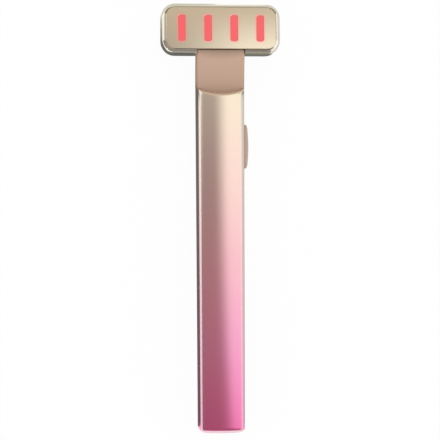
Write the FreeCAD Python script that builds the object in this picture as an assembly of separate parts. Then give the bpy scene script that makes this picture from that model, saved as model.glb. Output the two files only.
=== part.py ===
import FreeCAD, Part
import math
import os

from FreeCAD import Placement, Rotation, Vector

# Beauty wand lying on its back. X runs across it, with the button on the +X side, Y runs from the foot
# of the handle to the head, and Z points out of the light plate. All sizes are in millimetres.
# Pieces are modelled with Y counted from the foot, and moved to the middle of the wand when saved.

# Handle sleeve: a drawn metal tube with a flat back, a crowned front and a closed foot
handle_length = 118.5
handle_width = 16.9
handle_depth = 15.0
face_crown = 1.6
side_crown = 0.5
front_corner_r = 2.0
back_corner_r = 2.6
least_corner_r = 0.4
foot_edge_r = 1.4
mouth_edge_r = 0.5
mouth_slant = 20.0
mouth_sag = 1.2
sleeve_wall = 1.2
foot_wall = 2.0

# Clearances
fit = 0.1
seam = 0.12
press_gap = 0.02
thread_gap = 0.03
room = 0.3

# Neck: the moulding that rises from the arched mouth, set back from the handle's front
neck_length = 14.4
neck_recess = 3.5
neck_back_recess = 2.2
neck_drop = 1.3
neck_gap = 0.15
neck_edge_r = 0.6
spigot_depth = 7.0
seal_from_mouth = 1.3
seal_width = 1.2
seal_depth = 0.7

# Head: bezel, plate and back shell, leaning back from the handle
head_width = 42.0
head_height = 17.9
head_corner_r = 5.0
head_tilt = 2.0
head_drop = 0.5
bezel_lip = 1.6
bezel_round = 1.3
bezel_drop = 0.3
skirt_depth = 6.0
skirt_wall = 1.2
back_shell_depth = 4.4
back_edge_r = 3.0
back_wall = 1.5
neck_root = 1.0
neck_root_rise = 2.0

# Layers behind the plate
plate_thickness = 1.0
plate_edge_r = 0.3
ledge_thickness = 0.8
ledge_width = 1.2
gasket_thickness = 0.4
film_thickness = 0.2
guide_ledge = 0.8
lamp_room = 3.0
led_board_thickness = 0.8
led_board_ledge = 0.8
led_board_gap = 0.15

# Light slots in the plate
slot_count = 4
slot_width = 2.4
slot_margin = 2.9
slot_end_margin = 5.6
slot_corner_r = 0.7
bar_gap = 0.06
bar_rise = 0.15
bar_edge_r = 0.25
led_width = 1.6
led_length = 2.0
led_height = 0.9
pin_d = 1.2

# Screws: all of one size
screw_d = 1.2
screw_head_d = 2.2
screw_head_height = 0.7
screw_bite = 3.0
post_d = 2.8

# Charging socket and its plug in the foot
socket_width = 8.94
socket_height = 3.26
socket_length = 7.3
socket_skin = 0.3
socket_recess = 0.6
socket_base = 1.5
tongue_width = 6.7
tongue_height = 0.7
tongue_recess = 0.8
insert_wall = 1.0
insert_tail = 1.0
insert_gap = 0.05

# Chassis and board
frame_gap = 0.2
rail_width = 1.6
web_thickness = 1.0
boss_height = 0.8
boss_from_socket = 2.5
board_thickness = 1.0
board_gap = 0.2
board_end_gap = 3.5
side_boss_x = 2.8
tie_width = 9.0
tie_thickness = 1.6
tie_length = 5.0
tie_root = 6.0
tie_screw_x = 3.0
chip_count = 4
chip_side = 4.2
chip_height = 1.1
chip_pitch = 12.0
contact_span = 12.0
contact_width = 3.0
contact_skin = 0.25
contact_gap = 0.12
contact_from_chips = 6.0

# Button and switch
button_from_mouth = 17.8
button_length = 15.6
button_width = 5.0
button_rise = 1.5
button_dome = 0.5
button_travel = 0.6
button_gap = 0.12
button_edge_r = 0.6
flange_overhang = 0.9
flange_thickness = 0.8
stem_length = 0.7
stem_d = 2.4
switch_length = 6.0
switch_height = 3.5
switch_width = 3.5
switch_spare = 0.25
plunger_length = 2.6
plunger_height = 1.2
plunger_depth = 1.6

# Cell, vibration motor and wires
cell_from_socket = 5.0
cell_floor_gap = 0.5
cell_side_gap = 0.25
cell_edge_r = 0.8
pad_thickness = 0.4
pad_margin = 1.5
wire_bay = 8.0
can_d = 5.0
can_length = 11.0
boot_wall = 0.4
shaft_d = 1.0
shaft_gap = 0.04
shaft_depth = 5.0
weight_r = 2.4
weight_length = 4.0
weight_gap = 0.6
weight_to_switch = 3.0
hub_wall = 0.5
lead_d = 0.9
lead_bend_r = 1.8
lead_run = 1.4
cell_lead_x = 3.0
motor_lead_x = 1.1

# Flat cable from the board to the head
cable_width = 5.0
cable_thickness = 0.3
cable_gap = 0.1
cable_socket_width = 6.5
cable_socket_height = 1.5
cable_socket_length = 3.0
channel_room = 1.1

# Places that follow from the driving sizes
slant = math.tan(math.radians(mouth_slant))
tilt = math.radians(head_tilt)
mouth_sweep_r = ((handle_width / 2) ** 2 + mouth_sag**2) / (2 * mouth_sag)
side_sweep_r = ((handle_depth / 2) ** 2 + side_crown**2) / (2 * side_crown)
head_centre = handle_length + neck_length + head_height / 2
head_level = handle_depth - head_drop
edge_r = min(bezel_round, 0.85 * bezel_lip)
head_reach = (head_height / 2 - edge_r) * math.cos(tilt) - (bezel_drop + edge_r) * math.sin(tilt) + edge_r
overall_length = head_centre + head_reach
core_inset = sleeve_wall + fit
spigot_start = handle_length - spigot_depth

plate_width = head_width - 2 * bezel_lip
plate_height = head_height - 2 * bezel_lip
plate_r = max(head_corner_r - bezel_lip, least_corner_r)
opening_width = plate_width - 2 * ledge_width
opening_height = plate_height - 2 * ledge_width
opening_r = max(plate_r - ledge_width, least_corner_r)
guide_width = opening_width - 2 * fit
guide_height = opening_height - 2 * fit
pocket_width = guide_width - 2 * guide_ledge
pocket_height = guide_height - 2 * guide_ledge
pocket_r = max(opening_r - guide_ledge, least_corner_r)
skirt_width = head_width - 2 * skirt_wall
skirt_height = head_height - 2 * skirt_wall
skirt_r = max(head_corner_r - skirt_wall, least_corner_r)

plate_back = -plate_thickness
film_back = plate_back - film_thickness
ledge_back = plate_back - ledge_thickness
rim_level = ledge_back - gasket_thickness
board_seat = rim_level - lamp_room
led_board_top = board_seat + led_board_thickness
skirt_end = -bezel_drop - skirt_depth
shell_front = skirt_end - seam
shell_back = shell_front - back_shell_depth
well_floor = shell_back + back_wall
slot_length = plate_height - 2 * slot_margin
slot_pitch = (plate_width - 2 * slot_end_margin) / (slot_count - 1)
slot_centres = [(i - (slot_count - 1) / 2) * slot_pitch for i in range(slot_count)]

port_level = handle_depth / 2
socket_end = socket_recess + socket_length
board_low = port_level + socket_height / 2
board_high = board_low + board_thickness
web_high = board_low - boss_height
web_low = web_high - web_thickness
bay_half = handle_width / 2 - core_inset - rail_width
frame_start = foot_wall + insert_tail + frame_gap
frame_end = spigot_start - frame_gap
board_start = frame_start + frame_gap
board_end = spigot_start - board_end_gap
cable_socket_start = board_end - cable_socket_length

button_y = handle_length - button_from_mouth
button_level = board_low - switch_height / 2
button_top = handle_width / 2 + button_rise
switch_start = button_y - switch_length / 2
weight_tip = switch_start - weight_to_switch
can_end = weight_tip - weight_length - weight_gap
can_start = can_end - can_length
cell_start = socket_end + cell_from_socket
cell_end = can_start - wire_bay
cell_low = sleeve_wall + cell_floor_gap
cell_high = web_low - pad_thickness
boot_r = can_d / 2 + boot_wall
motor_level = sleeve_wall + room + boot_r
boss_places = [(0, socket_end + boss_from_socket), (-side_boss_x, switch_start - plunger_depth)]
tie_low = core_inset
tie_high = tie_low + tie_thickness
tie_screw_y = spigot_start + tie_length / 2


def mouth_y(level):
    """How far from the foot the slanted mouth lies at a level, on the middle plane."""
    return handle_length + (handle_depth - level) * slant


def side_reach(level, inset=0.0):
    """Half the handle's width at a level, out to the side arc or to an inset copy of it."""
    radius = side_sweep_r - inset
    return handle_width / 2 - side_sweep_r + math.sqrt(radius**2 - (level - handle_depth / 2) ** 2)


def head_point(v, w):
    """A point on the middle plane, from its place along the head and its level from the plate's front."""
    y = head_centre + v * math.cos(tilt) + w * math.sin(tilt)
    z = head_level - v * math.sin(tilt) + w * math.cos(tilt)
    return Vector(0, y, z)


flange_half = button_width / 2 + flange_overhang
flange_out = min(side_reach(button_level + side * flange_half, sleeve_wall) for side in (-1, 1)) - button_gap
flange_in = flange_out - flange_thickness
stem_end = flange_in - stem_length
switch_front = stem_end - button_travel - switch_spare


def box(x, y, z):
    """A block between pairs of limits along X, Y and Z."""
    return Part.makeBox(x[1] - x[0], y[1] - y[0], z[1] - z[0], Vector(x[0], y[0], z[0]))


def rod(start, direction, diameter, length):
    """A round bar from a start point."""
    return Part.makeCylinder(diameter / 2, length, start, direction)


def rounded_face(corners, radii):
    """A flat face whose straight sides meet in arcs, or in a sharp corner where the radius is 0."""
    starts = []
    ends = []
    arcs = []
    for i, corner in enumerate(corners):
        before = (corners[i - 1] - corner).normalize()
        after = (corners[(i + 1) % len(corners)] - corner).normalize()
        half_angle = before.getAngle(after) / 2
        setback = radii[i] / math.tan(half_angle)
        inward = (before + after).normalize()
        starts.append(corner + before * setback)
        ends.append(corner + after * setback)
        arcs.append(corner + inward * (radii[i] / math.sin(half_angle) - radii[i]))
    edges = []
    for i in range(len(corners)):
        following = starts[(i + 1) % len(corners)]
        if radii[i] > 0:
            edges.append(Part.Arc(starts[i], arcs[i], ends[i]).toShape())
        if ends[i].distanceToPoint(following) > 1e-6:
            edges.append(Part.makeLine(ends[i], following))
    return Part.Face(Part.Wire(edges))


def pill(centre, length, width, depth):
    """A prism with half-round ends: length and width are vectors across it, and depth runs along it."""
    corners = [centre + length * (i / 2) + width * (j / 2) for i, j in ((-1, -1), (1, -1), (1, 1), (-1, 1))]
    return rounded_face(corners, [width.Length / 2] * 4).extrude(depth)


def rounded_slab(width, height, radius, low, high, centre=0.0):
    """A slab of the head with round corners, between two levels from the plate's front."""
    x = (centre - width / 2, centre + width / 2)
    y = height / 2
    corners = [Vector(x[0], -y, low), Vector(x[1], -y, low), Vector(x[1], y, low), Vector(x[0], y, low)]
    return rounded_face(corners, [radius] * 4).extrude(Vector(0, 0, high - low))


def slots(grow, low, high):
    """The row of light slots as slabs, grown or shrunk by a clearance on every side."""
    radius = max(slot_corner_r + grow, least_corner_r)
    return [
        rounded_slab(slot_width + 2 * grow, slot_length + 2 * grow, radius, low, high, centre)
        for centre in slot_centres
    ]


def on_head(shape):
    """A shape of the head, leaned back and set on the end of the neck."""
    leaned = shape.copy()
    leaned.Placement = Placement(Vector(0, head_centre, head_level), Rotation(Vector(1, 0, 0), -head_tilt))
    return leaned


def side_arc(first, last, inset, side):
    """The handle's side arc between two levels, on the right (side 1) or on the left (side -1)."""
    levels = (first, (first + last) / 2, last)
    return Part.Arc(*[Vector(side * side_reach(z, inset), 0, z) for z in levels]).toShape()


def sleeve_prism(inset, start, end):
    """The handle's section, drawn in by an inset, from one distance off the foot to another."""
    low = inset
    high = handle_depth - face_crown - inset
    corner = side_reach(high, inset)
    base = side_reach(low, inset)
    crown = Part.Arc(Vector(corner, 0, high), Vector(0, 0, handle_depth - inset), Vector(-corner, 0, high))
    edges = [
        Part.makeLine(Vector(-base, 0, low), Vector(base, 0, low)),
        side_arc(low, high, inset, 1),
        crown.toShape(),
        side_arc(high, low, inset, -1),
    ]
    prism = Part.Face(Part.Wire(edges)).extrude(Vector(0, end - start, 0))
    prism.translate(Vector(0, start, 0))
    front_r = max(front_corner_r - inset, least_corner_r)
    back_r = max(back_corner_r - inset, least_corner_r)
    prism = rounded(prism, front_r, lambda e: runs_along(e) and is_front(e))
    return rounded(prism, back_r, lambda e: runs_along(e) and not is_front(e))


def rounded(shape, radius, chosen):
    """A shape with the chosen edges rounded."""
    return shape.makeFillet(radius, [edge for edge in shape.Edges if chosen(edge)])


def span(edge):
    """The vector between an edge's two ends."""
    return edge.Vertexes[-1].Point - edge.Vertexes[0].Point


def runs_along(edge):
    """Whether an edge runs along the wand."""
    return abs(span(edge).y) > max(abs(span(edge).x), abs(span(edge).z))


def is_front(edge):
    """Whether an edge lies in the front half of the handle's depth."""
    return edge.CenterOfMass.z > handle_depth / 2


def lies(edge, test):
    """Whether every end of an edge passes a test of its point."""
    return all(test(vertex.Point) for vertex in edge.Vertexes)


def beyond_mouth(offset):
    """Everything on the head's side of the arched, slanted mouth, moved along the wand by an offset."""
    side = 0.75 * handle_width
    sag = mouth_sweep_r - math.sqrt(mouth_sweep_r**2 - side**2)
    low = -3 * handle_depth
    left = Vector(-side, sag, low)
    right = Vector(side, sag, low)
    along = Vector(0, overall_length, 0)
    edges = [
        Part.Arc(left, Vector(0, 0, low), right).toShape(),
        Part.makeLine(right, right + along),
        Part.makeLine(right + along, left + along),
        Part.makeLine(left + along, left),
    ]
    beyond = Part.Face(Part.Wire(edges)).extrude(Vector(0, 0, -2 * low))
    lip = Vector(0, handle_length + offset, handle_depth)
    beyond.Placement = Placement(lip, Rotation(Vector(1, 0, 0), mouth_slant))
    return beyond


def strip(start, end, thickness, width):
    """A flat strip across the middle plane, between two points on that plane."""
    along = (end - start).normalize()
    across = Vector(-width / 2, -along.z * thickness / 2, along.y * thickness / 2)
    other = Vector(-width / 2, -across.y, -across.z)
    corners = [start + other, end + other, end + across, start + across]
    return rounded_face(corners, [0] * 4).extrude(Vector(width, 0, 0))


def screw(seat, direction, clamped):
    """A screw whose head sits on a seat, with the thickness that it clamps and the length that it bites."""
    shank = rod(seat, direction, screw_d, clamped + screw_bite)
    return shank.fuse(rod(seat, -direction, screw_head_d, screw_head_height))


def lead(x, start_y, level, direction):
    """A wire that leaves an end face along the wand, bends and rises to the board."""
    start = Vector(x, start_y, level)
    bend = start + Vector(0, direction * lead_run, 0)
    half_turn = math.radians(45)
    turn = Vector(0, direction * math.sin(half_turn), 1 - math.cos(half_turn)) * lead_bend_r
    top = bend + Vector(0, direction, 1) * lead_bend_r
    path = Part.Wire([
        Part.makeLine(start, bend),
        Part.Arc(bend, bend + turn, top).toShape(),
        Part.makeLine(top, Vector(x, top.y, board_low)),
    ])
    end = Part.Wire([Part.makeCircle(lead_d / 2, start, Vector(0, 1, 0))])
    return path.makePipeShell([end], True, False)


def save(node, *shapes):
    """Write one node, with the origin under the middle of the whole wand."""
    solids = [solid for shape in shapes for solid in shape.Solids]
    piece = solids[0] if len(solids) == 1 else Part.makeCompound(solids)
    piece = piece.copy()
    piece.translate(Vector(0, -overall_length / 2, 0))
    piece.exportStep(f"parts/{node}.step")


os.makedirs("parts", exist_ok=True)

# Openings that pieces of the handle share
socket_across = Vector(socket_width, 0, 0)
socket_up = Vector(0, 0, socket_height)
button_along = Vector(0, button_length, 0)
button_up = Vector(0, 0, button_width)


def grown(vector, amount):
    """A vector made longer by an amount."""
    return vector * (1 + amount / vector.Length)


def port_prism(grow, start, end):
    """The outline of the charging socket, grown on every side, along part of the wand."""
    centre = Vector(0, start, port_level)
    depth = Vector(0, end - start, 0)
    return pill(centre, grown(socket_across, 2 * grow), grown(socket_up, 2 * grow), depth)


def button_prism(grow, start, end):
    """The outline of the button, grown on every side, between two distances from the middle plane."""
    centre = Vector(start, button_y, button_level)
    depth = Vector(end - start, 0, 0)
    return pill(centre, grown(button_along, 2 * grow), grown(button_up, 2 * grow), depth)


room_length = button_length + 2 * (flange_overhang + room)
button_room = box(
    (stem_end - button_travel - room, handle_width),
    (button_y - room_length / 2, button_y + room_length / 2),
    (button_level - flange_half - room, button_level + flange_half + room),
)

# Handle sleeve, with the arched mouth, the button's slot and the port's opening
outer = sleeve_prism(0, 0, overall_length)
outer = rounded(outer, foot_edge_r, lambda e: lies(e, lambda p: abs(p.y) < 1e-6))
outer = outer.cut(beyond_mouth(0))
outer = rounded(outer, mouth_edge_r, lambda e: lies(e, lambda p: p.y > handle_length / 2))
inner = sleeve_prism(sleeve_wall, foot_wall, overall_length)
button_slot = button_prism(button_gap, flange_in, handle_width)
port_opening = port_prism(insert_wall + 2 * insert_gap, -foot_wall, 2 * foot_wall)
save("handle_sleeve", outer.cut([inner, button_slot, port_opening]))

# Moulded plug that lines the port's opening in the foot
insert = port_prism(insert_wall + insert_gap, 0, foot_wall + insert_tail)
save("port_insert", insert.cut(port_prism(insert_gap, -foot_wall, 2 * foot_wall + insert_tail)))

# Charging socket: a folded metal shell, and a moulded base that carries the contact tongue
shell = port_prism(0, socket_recess, socket_end)
save("usb_socket_shell", shell.cut(port_prism(-socket_skin, 0, socket_end + room)))
socket_block = port_prism(-socket_skin - press_gap, socket_end - socket_base, socket_end)
tongue = box(
    (-tongue_width / 2, tongue_width / 2),
    (socket_recess + tongue_recess, socket_end - socket_base / 2),
    (port_level - tongue_height / 2, port_level + tongue_height / 2),
)
save("usb_tongue", socket_block.fuse(tongue))

# Chassis: two rails and a web between them, the motor's saddle, the bosses and the tie into the neck
chassis = sleeve_prism(core_inset, frame_start, frame_end)
wide = (-handle_width, handle_width)
bay = (-bay_half, bay_half)
full = (0, overall_length)
chassis = chassis.cut([
    box(wide, full, (board_high, 2 * handle_depth)),
    box(bay, full, (web_high, 2 * handle_depth)),
    box(bay, full, (-handle_depth, web_low)),
    box(bay, (0, socket_end + room), (-handle_depth, handle_depth)),
    port_prism(room, 0, socket_end + room),
    box(bay, (cell_end + room, weight_tip + room), (-handle_depth, handle_depth)),
    box(bay, (cable_socket_start - room, overall_length), (-handle_depth, handle_depth)),
])
saddle = box(bay, (can_start, can_end), (motor_level, web_high))
bosses = [rod(Vector(x, y, web_low), Vector(0, 0, 1), post_d, board_low - web_low) for x, y in boss_places]
tie_foot = box(bay, (frame_end - tie_root, frame_end), (tie_low, tie_high))
tie_end = spigot_start + tie_length
tie = box((-tie_width / 2, tie_width / 2), (frame_end - tie_root, tie_end), (tie_low, tie_high))
chassis = chassis.fuse([saddle, *bosses, tie_foot, tie])
board_pilots = [
    rod(Vector(x, y, board_low), Vector(0, 0, -1), screw_d + 2 * thread_gap, screw_bite + room)
    for x, y in boss_places
]
tie_places = [Vector(side * tie_screw_x, tie_screw_y, tie_low + screw_head_height) for side in (-1, 1)]
tie_holes = [rod(p, Vector(0, 0, 1), screw_d + 2 * thread_gap, tie_thickness) for p in tie_places]
tie_sinks = [rod(p, Vector(0, 0, -1), screw_head_d + 2 * fit, tie_thickness) for p in tie_places]
boot_bore = rod(Vector(0, can_start, motor_level), Vector(0, 1, 0), 2 * (boot_r + press_gap), can_length)
switch_notch = box(
    (switch_front - switch_width - room, bay_half),
    (switch_start - room, switch_start + switch_length + room),
    (web_low - room, board_low),
)
chassis = chassis.cut([*board_pilots, *tie_holes, *tie_sinks, boot_bore, switch_notch, button_room])
save("inner_frame", chassis)

# Main board, its screws and its chips
board_half = bay_half - board_gap
board = box((-board_half, board_half), (board_start, board_end), (board_low, board_high))
board_holes = [rod(Vector(x, y, 0), Vector(0, 0, 1), screw_d + 2 * fit, handle_depth) for x, y in boss_places]
save("main_board", board.cut(board_holes))
save("board_screws", *[
    screw(Vector(x, y, board_high), Vector(0, 0, -1), board_thickness) for x, y in boss_places
])
chip_places = [cell_start + (i + 0.5) * chip_pitch for i in range(chip_count)]
chip_half = chip_side / 2
chip_z = (board_high, board_high + chip_height)
save("board_chips", *[
    box((-chip_half, chip_half), (y - chip_half, y + chip_half), chip_z) for y in chip_places
])

# Bowed leaf that joins the board to the inside of the metal sleeve
contact_start = chip_places[-1] + contact_from_chips
contact_high = handle_depth - sleeve_wall - contact_gap


def bow(inset):
    """The leaf's arch, seen from the side, drawn in by an inset."""
    start = Vector(-contact_width / 2, contact_start + inset, board_high)
    crest = Vector(-contact_width / 2, contact_start + contact_span / 2, contact_high - inset)
    end = Vector(-contact_width / 2, contact_start + contact_span - inset, board_high)
    arch = Part.Face(Part.Wire([Part.Arc(start, crest, end).toShape(), Part.makeLine(end, start)]))
    return arch.extrude(Vector(contact_width, 0, 0))


save("sleeve_contact", bow(0).cut(bow(contact_skin)))

# Switch under the board, and its plunger behind the button
switch = box(
    (switch_front - switch_width, switch_front),
    (switch_start, switch_start + switch_length),
    (board_low - switch_height, board_low),
)
plunger_y = (button_y - plunger_length / 2, button_y + plunger_length / 2)
plunger_z = (button_level - plunger_height / 2, button_level + plunger_height / 2)
bore = box(
    (switch_front - plunger_depth - button_travel - switch_spare, switch_front + room),
    (plunger_y[0] - fit, plunger_y[1] + fit),
    (plunger_z[0] - fit, plunger_z[1] + fit),
)
save("side_switch", switch.cut(bore))
save("switch_plunger", box((switch_front - plunger_depth, stem_end), plunger_y, plunger_z))

# Button: a domed cap in the sleeve's slot, held by a flange behind the wall
dome_edge = button_top - button_dome
dome_ends = (button_y - button_length / 2, button_y + button_length / 2)
dome_low = button_level - button_width / 2
dome_arc = Part.Arc(
    Vector(dome_edge, dome_ends[0], dome_low),
    Vector(button_top, button_y, dome_low),
    Vector(dome_edge, dome_ends[1], dome_low),
)
dome_foot = [Vector(flange_in, y, dome_low) for y in dome_ends]
dome_sides = [
    dome_arc.toShape(),
    Part.makeLine(Vector(dome_edge, dome_ends[1], dome_low), dome_foot[1]),
    Part.makeLine(dome_foot[1], dome_foot[0]),
    Part.makeLine(dome_foot[0], Vector(dome_edge, dome_ends[0], dome_low)),
]
dome = Part.Face(Part.Wire(dome_sides)).extrude(Vector(0, 0, button_width))
cap = button_prism(0, flange_in, button_top + room).common(dome)
cap = rounded(cap, button_edge_r, lambda e: lies(e, lambda p: p.x > dome_edge - 1e-6))
flange = button_prism(flange_overhang, flange_in, flange_out)
stem = rod(Vector(flange_in, button_y, button_level), Vector(-1, 0, 0), stem_d, stem_length)
save("button_cap", cap.fuse([flange, stem]))

# Cell, taped under the web, with its two wires
cell_half = bay_half - cell_side_gap
cell = box((-cell_half, cell_half), (cell_start, cell_end), (cell_low, cell_high))
save("battery_cell", rounded(cell, cell_edge_r, runs_along))
save("battery_pad", box(
    (-cell_half + pad_margin, cell_half - pad_margin),
    (cell_start + pad_margin, cell_end - pad_margin),
    (cell_high, web_low),
))
cell_level = (cell_low + cell_high) / 2
save("battery_leads", *[lead(side * cell_lead_x, cell_end, cell_level, 1) for side in (-1, 1)])

# Vibration motor in its rubber boot, with the weight on its shaft
motor_end = Vector(0, can_end, motor_level)
forward = Vector(0, 1, 0)
can = rod(Vector(0, can_start, motor_level), forward, can_d, can_length)
save("motor_can", can.cut(rod(motor_end, -forward, shaft_d + 2 * shaft_gap, shaft_depth + shaft_gap)))
boot = rod(Vector(0, can_start, motor_level), forward, 2 * boot_r, can_length)
save("motor_boot", boot.cut(rod(Vector(0, can_start, motor_level), forward, can_d + 2 * press_gap, can_length)))
shaft_start = motor_end - forward * shaft_depth
save("motor_shaft", rod(shaft_start, forward, shaft_d, weight_tip - can_end + shaft_depth))
weight_start = Vector(0, can_end + weight_gap, motor_level)
half_disc = rod(weight_start, forward, 2 * weight_r, weight_length)
half_disc = half_disc.cut(box(wide, full, (motor_level, handle_depth)))
hub = rod(weight_start, forward, shaft_d + 2 * hub_wall, weight_length)
weight_bore = rod(weight_start, forward, shaft_d + 2 * press_gap, weight_length)
save("eccentric_weight", half_disc.fuse(hub).cut(weight_bore))
save("motor_leads", *[lead(side * motor_lead_x, can_start, motor_level, -1) for side in (-1, 1)])

# Flat cable, straight through the neck between a socket on each board
cable_start = Vector(0, board_end + cable_gap, board_low - cable_socket_height / 2)
led_socket_v = led_board_ledge - pocket_height / 2 + room
cable_end = head_point(led_socket_v - cable_gap, board_seat - cable_socket_height / 2)
save("head_cable", strip(cable_start, cable_end, cable_thickness, cable_width))
half_socket = cable_socket_width / 2
save(
    "cable_sockets",
    box(
        (-half_socket, half_socket),
        (cable_socket_start, board_end),
        (board_low - cable_socket_height, board_low),
    ),
    on_head(box(
        (-half_socket, half_socket),
        (led_socket_v, led_socket_v + cable_socket_length),
        (board_seat - cable_socket_height, board_seat),
    )),
)
cable_run = (cable_end - cable_start).normalize()
channel = strip(
    cable_start,
    cable_end + cable_run * cable_socket_length,
    cable_thickness + 2 * channel_room,
    cable_socket_width + 2 * room,
)

# Neck: a bar as wide as the handle, from the arched mouth to the plate's lower edge
neck_front = handle_depth - neck_recess
neck_back = neck_back_recess
neck_top_v = -plate_height / 2 - neck_gap
tray_width = skirt_width - 2 * fit
tray_height = skirt_height - 2 * fit
tray_r = max(skirt_r - fit, least_corner_r)
root_v = neck_root - tray_height / 2
root_w = shell_back + neck_root_rise
neck_corners = [
    head_point(neck_top_v, -neck_drop),
    Vector(0, mouth_y(neck_front), neck_front),
    Vector(0, mouth_y(neck_back), neck_back),
    head_point(root_v, root_w),
    head_point(root_v, rim_level - neck_root),
    head_point(neck_top_v, rim_level),
]
neck_bar = rounded_face(neck_corners, [0] * len(neck_corners))
neck_bar.translate(Vector(-handle_width, 0, 0))
neck_bar = neck_bar.extrude(Vector(2 * handle_width, 0, 0))
reach = (0, handle_depth)
waist = Part.Face(Part.Wire([
    Part.makeLine(Vector(-side_reach(reach[0]), 0, reach[0]), Vector(side_reach(reach[0]), 0, reach[0])),
    side_arc(reach[0], reach[1], 0, 1),
    Part.makeLine(Vector(side_reach(reach[1]), 0, reach[1]), Vector(-side_reach(reach[1]), 0, reach[1])),
    side_arc(reach[1], reach[0], 0, -1),
]))
neck_bar = neck_bar.common(waist.extrude(Vector(0, overall_length, 0)))
neck_bar = rounded(neck_bar, neck_edge_r, lambda e: runs_along(e) and abs(e.CenterOfMass.x) > bay_half / 2)
neck_bar = neck_bar.common(beyond_mouth(seam))

# Neck housing: the bar in one moulding with the spigot in the sleeve, the lamp tray and the head's back
spigot = sleeve_prism(core_inset, spigot_start, overall_length).cut(beyond_mouth(seam))
tray = on_head(rounded_slab(tray_width, tray_height, tray_r, well_floor, rim_level))
back_shell = rounded_slab(head_width, head_height, head_corner_r, shell_back, shell_front)
back_r = min(back_edge_r, 0.7 * back_shell_depth)
back_shell = rounded(back_shell, back_r, lambda e: lies(e, lambda p: p.z < shell_back + 1e-6))
moulding = neck_bar.fuse([spigot, tray, on_head(back_shell)])
lamp_pocket = rounded_slab(pocket_width, pocket_height, pocket_r, board_seat, rim_level + room)
well_r = max(pocket_r - led_board_ledge, least_corner_r)
well_width = pocket_width - 2 * led_board_ledge
well_height = pocket_height - 2 * led_board_ledge
well = rounded_slab(well_width, well_height, well_r, well_floor, board_seat + room)
post_places = [Vector(side * slot_pitch, 0, board_seat) for side in (-1, 1)]
well = well.cut([rod(p, Vector(0, 0, -1), post_d, lamp_room + head_height) for p in post_places])
post_pilots = [rod(p, Vector(0, 0, -1), screw_d + 2 * thread_gap, screw_bite + room) for p in post_places]
tie_room = box(
    (-tie_width / 2 - fit, tie_width / 2 + fit),
    (0, tie_end + room),
    (-handle_depth, tie_high + fit),
)
neck_pilot_d = screw_d + 2 * thread_gap
neck_pilots = [rod(p, Vector(0, 0, 1), neck_pilot_d, tie_thickness + screw_bite) for p in tie_places]


def seal_band(inset):
    """The slanted stretch of the spigot that the seal goes round, at an inset from the sleeve's outside."""
    band = sleeve_prism(inset, spigot_start, overall_length)
    kept = beyond_mouth(-seal_from_mouth - seal_width).cut(beyond_mouth(-seal_from_mouth))
    return band.common(kept)


seal_core = seal_band(core_inset + seal_depth)
groove = seal_band(sleeve_wall).cut(seal_core)
cuts = [on_head(s) for s in (lamp_pocket, well, *post_pilots)]
moulding = moulding.cut([*cuts, channel, tie_room, *neck_pilots, groove, button_room])
save("neck_housing", moulding.removeSplitter())
save("neck_seal", seal_band(sleeve_wall + press_gap).cut(seal_core))
save("neck_screws", *[screw(p, Vector(0, 0, 1), tie_high - p.z) for p in tie_places])

# Bezel: a rounded rim with a seat for the plate and a skirt round the tray, notched for the neck
bezel = rounded_slab(head_width, head_height, head_corner_r, skirt_end, -bezel_drop)
bezel = rounded(bezel, edge_r, lambda e: lies(e, lambda p: p.z > -bezel_drop - 1e-6))
notch_half = handle_width / 2 + seam
bezel = bezel.cut([
    rounded_slab(plate_width + 2 * fit, plate_height + 2 * fit, plate_r + fit, plate_back, room),
    rounded_slab(opening_width, opening_height, opening_r, skirt_end, room),
    rounded_slab(skirt_width, skirt_height, skirt_r, skirt_end, ledge_back),
    box((-notch_half, notch_half), (-head_height, -plate_height / 2 - fit), (shell_back, room)),
])
save("head_bezel", on_head(bezel))

# Slotted plate, the film that warms it, the gasket under the ledge, and the light guide
plate = rounded_slab(plate_width, plate_height, plate_r, plate_back, 0)
plate = rounded(plate, plate_edge_r, lambda e: lies(e, lambda p: p.z > -1e-6))
save("face_plate", on_head(plate.cut(slots(0, plate_back, room))))
pin_hole = rod(Vector(0, 0, 0), Vector(0, 0, -1), pin_d + 2 * fit, head_height)
guide_r = max(opening_r - fit, least_corner_r)
film = rounded_slab(guide_width, guide_height, guide_r, film_back, plate_back)
save("heater_film", on_head(film.cut([*slots(0, film_back, plate_back), pin_hole])))
guide = rounded_slab(guide_width, guide_height, guide_r, rim_level, film_back)
bars = slots(-bar_gap, film_back, bar_rise)
bars = [rounded(bar, bar_edge_r, lambda e: lies(e, lambda p: p.z > bar_rise - 1e-6)) for bar in bars]
guide = guide.fuse(bars)
save("light_guide", on_head(guide.cut(pin_hole)))
gasket = rounded_slab(plate_width, plate_height, plate_r, rim_level, ledge_back)
gasket = gasket.cut(rounded_slab(opening_width, opening_height, opening_r, rim_level, ledge_back))
save("head_gasket", on_head(gasket))

# Lamp board on its ledge, with two lamps behind each slot, two screws and the plate's contact pin
led_board_width = pocket_width - 2 * led_board_gap
led_board_height = pocket_height - 2 * led_board_gap
led_board = rounded_slab(led_board_width, led_board_height, pocket_r, board_seat, led_board_top)
led_holes = [rod(p, Vector(0, 0, 1), screw_d + 2 * fit, lamp_room) for p in post_places]
save("led_board", on_head(led_board.cut(led_holes)))
save("red_leds", *[
    on_head(box(
        (u - led_width / 2, u + led_width / 2),
        (v - led_length / 2, v + led_length / 2),
        (led_board_top, led_board_top + led_height),
    ))
    for u in slot_centres
    for v in (-slot_length / 4, slot_length / 4)
])
lift = Vector(0, 0, led_board_thickness)
pin = rod(Vector(0, 0, led_board_top), Vector(0, 0, 1), pin_d, plate_back - led_board_top)
save("plate_contact_pin", on_head(pin))
save("led_board_screws", *[
    on_head(screw(p + lift, Vector(0, 0, -1), led_board_thickness)) for p in post_places
])
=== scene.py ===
import math

import bmesh
import bpy
from mathutils import Matrix, Vector


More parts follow.
